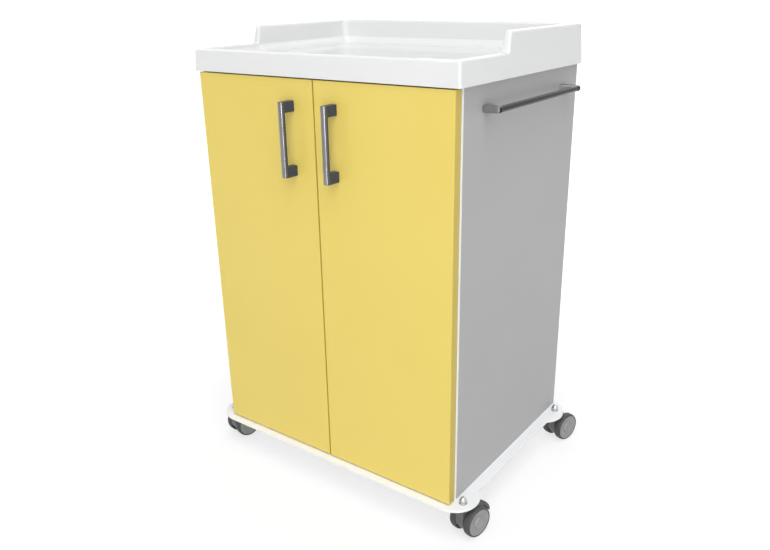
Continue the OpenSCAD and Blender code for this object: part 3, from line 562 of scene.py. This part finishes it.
def screw_profile(points, origin, axis):
    """Radii and heights of a screw along its axis, read from the points of its CAD solid."""
    least_r = 0.3
    pairs = set()
    for p in points:
        height = (p - origin).dot(axis)
        radius = ((p - origin) - axis * height).length
        pairs.add((round(height / MM, 2), round(radius / MM, 1)))
    profile = []
    for height in sorted({h for h, _ in pairs}):
        radii = sorted(r for h, r in pairs if h == height and r > least_r)
        order = radii[-1:]
        if profile and len(radii) > 1:
            now = profile[-1][0]
            order = sorted((radii[0], radii[-1]), key=lambda r: abs(r - now))
        profile += [(r, height) for r in order]
    return profile


def make_screws(node, axis_at, mat):
    """Screws whose heads lie at the start of their axis; axis_at gives the axis from a middle point."""
    # Cross recess, in shares of the head's radius, and the head's dome as (share of radius, height)
    arm, length, recess_floor, recess_share, recess_most = 0.13, 0.5, 0.45, 0.8, 1.6
    dome = ((0.72, 0.0), (0.88, 0.18), (0.97, 0.5), (1.0, 0.8))
    bm = bmesh.new()
    for points in islands(node):
        low = Vector(map(min, zip(*points)))
        high = Vector(map(max, zip(*points)))
        middle = (low + high) / 2
        axis = Vector(axis_at(middle))
        origin = middle + axis * min((p - middle).dot(axis) for p in points)
        profile = screw_profile(points, origin, axis)
        head, head_h = profile[0][0], profile[1][1]
        outline = cross_outline(head * arm, head * length)
        place = axis_place(origin, axis)

        def ring(radii, height):
            spots = [Vector((r * math.cos(a), r * math.sin(a), height)) * MM
                     for (a, _), r in zip(outline, radii)]
            return [bm.verts.new(place @ spot) for spot in spots]

        cross = [r for _, r in outline]
        rings = [ring([r * recess_floor for r in cross], min(recess_most, head_h * recess_share)),
                 ring(cross, 0.0)]
        for share, height in dome:
            rings.append(ring([head * share] * len(cross), height * min(1.0, head_h)))
        for radius, height in profile[1:]:
            rings.append(ring([radius] * len(cross), height))
        bridge(bm, rings)
        bm.faces.new(rings[0])
        bm.faces.new(rings[-1])
    finish_piece(node, bm, [mat])


# Assembly

make_tray()
make_nuts()
for corner in CORNERS:
    for side in SIDES:
        make_wheel(corner, side)
    soften(f"caster_housing_{corner}", [housing], bevel=2.2, segments=4)
    paint(f"caster_axle_{corner}", zinc)
soften("caster_brake_front_right", [housing], bevel=1.0, segments=3)
for side in SIDES:
    soften(f"door_{side}", [door_face, door_edge], bevel=0.8, segments=3, pick=by_axis(1))
    # The handle bars' flanks take the painted dark reflection
    soften(f"handle_bar_{side}", [handle_steel, handle_painted_dark_reflection], bevel=0.5, segments=3,
           pick=painted_dark_flanks)
    soften(f"handle_posts_{side}", [handle_block], bevel=0.6, segments=3)
    make_screws(f"handle_screws_{side}", lambda m: (0, -1, 0), zinc)
    soften(f"hinge_cups_{side}", [nickel], bevel=0.25)
    paint(f"hinge_cup_pins_{side}", pin_steel)
    soften(f"hinge_links_{side}", [nickel], bevel=0.2)
    soften(f"hinge_guide_links_{side}", [nickel], bevel=0.2)
    soften(f"door_bumpers_{side}", [bumper], bevel=0.6, segments=3)
    soften(f"side_panel_{side}", [side_face, side_edge], bevel=0.4, pick=by_axis(0))
soften("side_edge_bands", [band], bevel=0.4)
for node in ("bottom_panel", "top_panel", "lower_shelf", "upper_shelf"):
    soften(node, [board, board_edge], bevel=0.5, pick=by_axis(2))
for node in ("top_rail", "back_panel"):
    soften(node, [board, board_edge], bevel=0.5, pick=by_axis(1))
soften("base_plate", [plate], bevel=0.8, segments=3)
soften("nut_washers", [zinc], bevel=0.25)
soften("caster_studs", [zinc], bevel=0.3)
soften("shelf_pins", [zinc], bevel=0.3)
soften("towel_rail_bar", [rail_steel], bevel=0.4)
make_posts()
soften("hinge_plates", [nickel], bevel=0.4)
soften("hinge_arms", [nickel], bevel=0.25)
make_screws("base_screws", lambda m: (0, 0, 1), zinc)
make_screws("tray_screws", lambda m: (0, 0, 1), zinc)
make_screws("towel_rail_screws", lambda m: (1, 0, 0), zinc)
make_screws("hinge_screws", lambda m: (math.copysign(1, m.x), 0, 0), nickel)
paint("carcass_dowels", beech)
paint("hinge_arm_pins", pin_steel)


# Stage: a pale floor that keeps the shadow and shows white, a white world and soft studio lamps

def seen(tree):
    """1 for rays from the camera, a mirror or clear plastic, and 0 for the light that falls on things."""
    path = tree.nodes.new("ShaderNodeLightPath")
    found = path.outputs["Is Camera Ray"]
    for ray in ("Is Glossy Ray", "Is Transmission Ray"):
        either = tree.nodes.new("ShaderNodeMath")
        either.operation = "MAXIMUM"
        tree.links.new(found, either.inputs[0])
        tree.links.new(path.outputs[ray], either.inputs[1])
        found = either.outputs[0]
    return found


def choose(tree, unseen_shader, seen_shader, output):
    """Ends a tree with one shader for the light that falls on things and one for what is seen."""
    mix = tree.nodes.new("ShaderNodeMixShader")
    tree.links.new(seen(tree), mix.inputs[0])
    tree.links.new(unseen_shader, mix.inputs[1])
    tree.links.new(seen_shader, mix.inputs[2])
    tree.links.new(mix.outputs[0], tree.nodes.new(output).inputs["Surface"])


def make_floor():
    """Grey for the light that falls on it. Where it is seen it glows, more so away from the middle."""
    reach, grey, seen_grey = 30.0, 0.8, 0.35
    near, away, glow_near, glow_away = 0.4, 1.6, 0.68, 1.0
    made = bpy.data.materials.new("floor")
    made.use_nodes = True
    tree = made.node_tree
    tree.nodes.clear()

    def diffuse(value):
        plain = tree.nodes.new("ShaderNodeBsdfDiffuse")
        plain.inputs["Color"].default_value = (value, value, value, 1)
        return plain.outputs[0]

    far = tree.nodes.new("ShaderNodeVectorMath")
    far.operation = "LENGTH"
    tree.links.new(tree.nodes.new("ShaderNodeTexCoord").outputs["Object"], far.inputs[0])
    glow = tree.nodes.new("ShaderNodeEmission")
    fade = map_range(tree, far.outputs["Value"], near, away, glow_near, glow_away)
    tree.links.new(fade, glow.inputs["Strength"])
    both = tree.nodes.new("ShaderNodeAddShader")
    tree.links.new(diffuse(seen_grey), both.inputs[0])
    tree.links.new(glow.outputs[0], both.inputs[1])
    choose(tree, diffuse(grey), both.outputs[0], "ShaderNodeOutputMaterial")

    mesh = bpy.data.meshes.new("floor")
    outline = [(-reach, -reach, 0), (reach, -reach, 0), (reach, reach, 0), (-reach, reach, 0)]
    mesh.from_pydata(outline, [], [(0, 1, 2, 3)])
    mesh.materials.append(made)
    floor = bpy.data.objects.new("floor", mesh)
    scene.collection.objects.link(floor)


def make_world():
    """White where it is seen, and a weak even light on things."""
    fill, white = 0.24, 1.0
    world = bpy.data.worlds.new("studio")
    scene.world = world
    world.use_nodes = True
    tree = world.node_tree
    tree.nodes.clear()

    def background(strength):
        made = tree.nodes.new("ShaderNodeBackground")
        made.inputs["Color"].default_value = (1, 1, 1, 1)
        made.inputs["Strength"].default_value = strength
        return made.outputs[0]

    choose(tree, background(fill), background(white), "ShaderNodeOutputWorld")


def lamp(name, place, aim, size, power):
    """A soft lamp: place and aim in metres, size as width and height, power in watts."""
    data = bpy.data.lights.new(name, "AREA")
    data.shape = "RECTANGLE"
    data.size, data.size_y = size
    data.energy = power
    made = bpy.data.objects.new(name, data)
    scene.collection.objects.link(made)
    made.location = place
    made.rotation_mode = "QUATERNION"
    made.rotation_quaternion = (Vector(aim) - Vector(place)).to_track_quat("-Z", "Y")


def make_camera():
    """The photograph's view: turned to the right of the front, looking down, with a small roll."""
    yaw, pitch, roll = (math.radians(a) for a in (36.58, 20.78, -1.03))
    place, lens, sensor = Vector((0.89989, -1.2404, 0.98325)), 35.49, 36.0
    ahead = Vector((-math.sin(yaw) * math.cos(pitch), math.cos(yaw) * math.cos(pitch), -math.sin(pitch)))
    right = Vector((math.cos(yaw), math.sin(yaw), 0))
    up = right.cross(ahead)
    x = right * math.cos(roll) + up * math.sin(roll)
    y = up * math.cos(roll) - right * math.sin(roll)
    data = bpy.data.cameras.new("camera")
    data.sensor_width = sensor
    data.lens = lens
    camera = bpy.data.objects.new("camera", data)
    scene.collection.objects.link(camera)
    stand = Matrix((x, y, -ahead)).transposed().to_4x4()
    stand.translation = place
    camera.matrix_world = stand
    scene.camera = camera


make_camera()
make_floor()
make_world()
# strip draws the line of light along the handles, and streak the one in the tray's floor
lamp("strip", (1.26, -2.05, 0.42), (0, -0.25, 0.6), (0.15, 0.8), 5.5)
lamp("front", (3.1, -5.6, 2.0), (0, 0, 0.55), (4.0, 4.0), 80)
lamp("key", (2.6, -3.3, 5.06), (0, 0, 0.5), (5.0, 5.0), 180)
lamp("top", (1.3, -0.8, 5.8), (0, -0.1, 0.5), (2.4, 2.4), 70)
lamp("back", (-1.2, 5.6, 3.2), (0, 0, 0.5), (5.0, 5.0), 84)
lamp("left", (-5.4, 0.8, 3.2), (0, 0, 0.5), (5.0, 5.0), 72)
lamp("right", (3.6, -0.4, 0.8), (0.3, 0, 0.45), (2.0, 1.6), 7)
lamp("streak", (-0.74, -1.0, 2.6), (0, 0.2, 0.87), (0.2, 0.5), 2.5)
scene.view_settings.view_transform = "Standard"
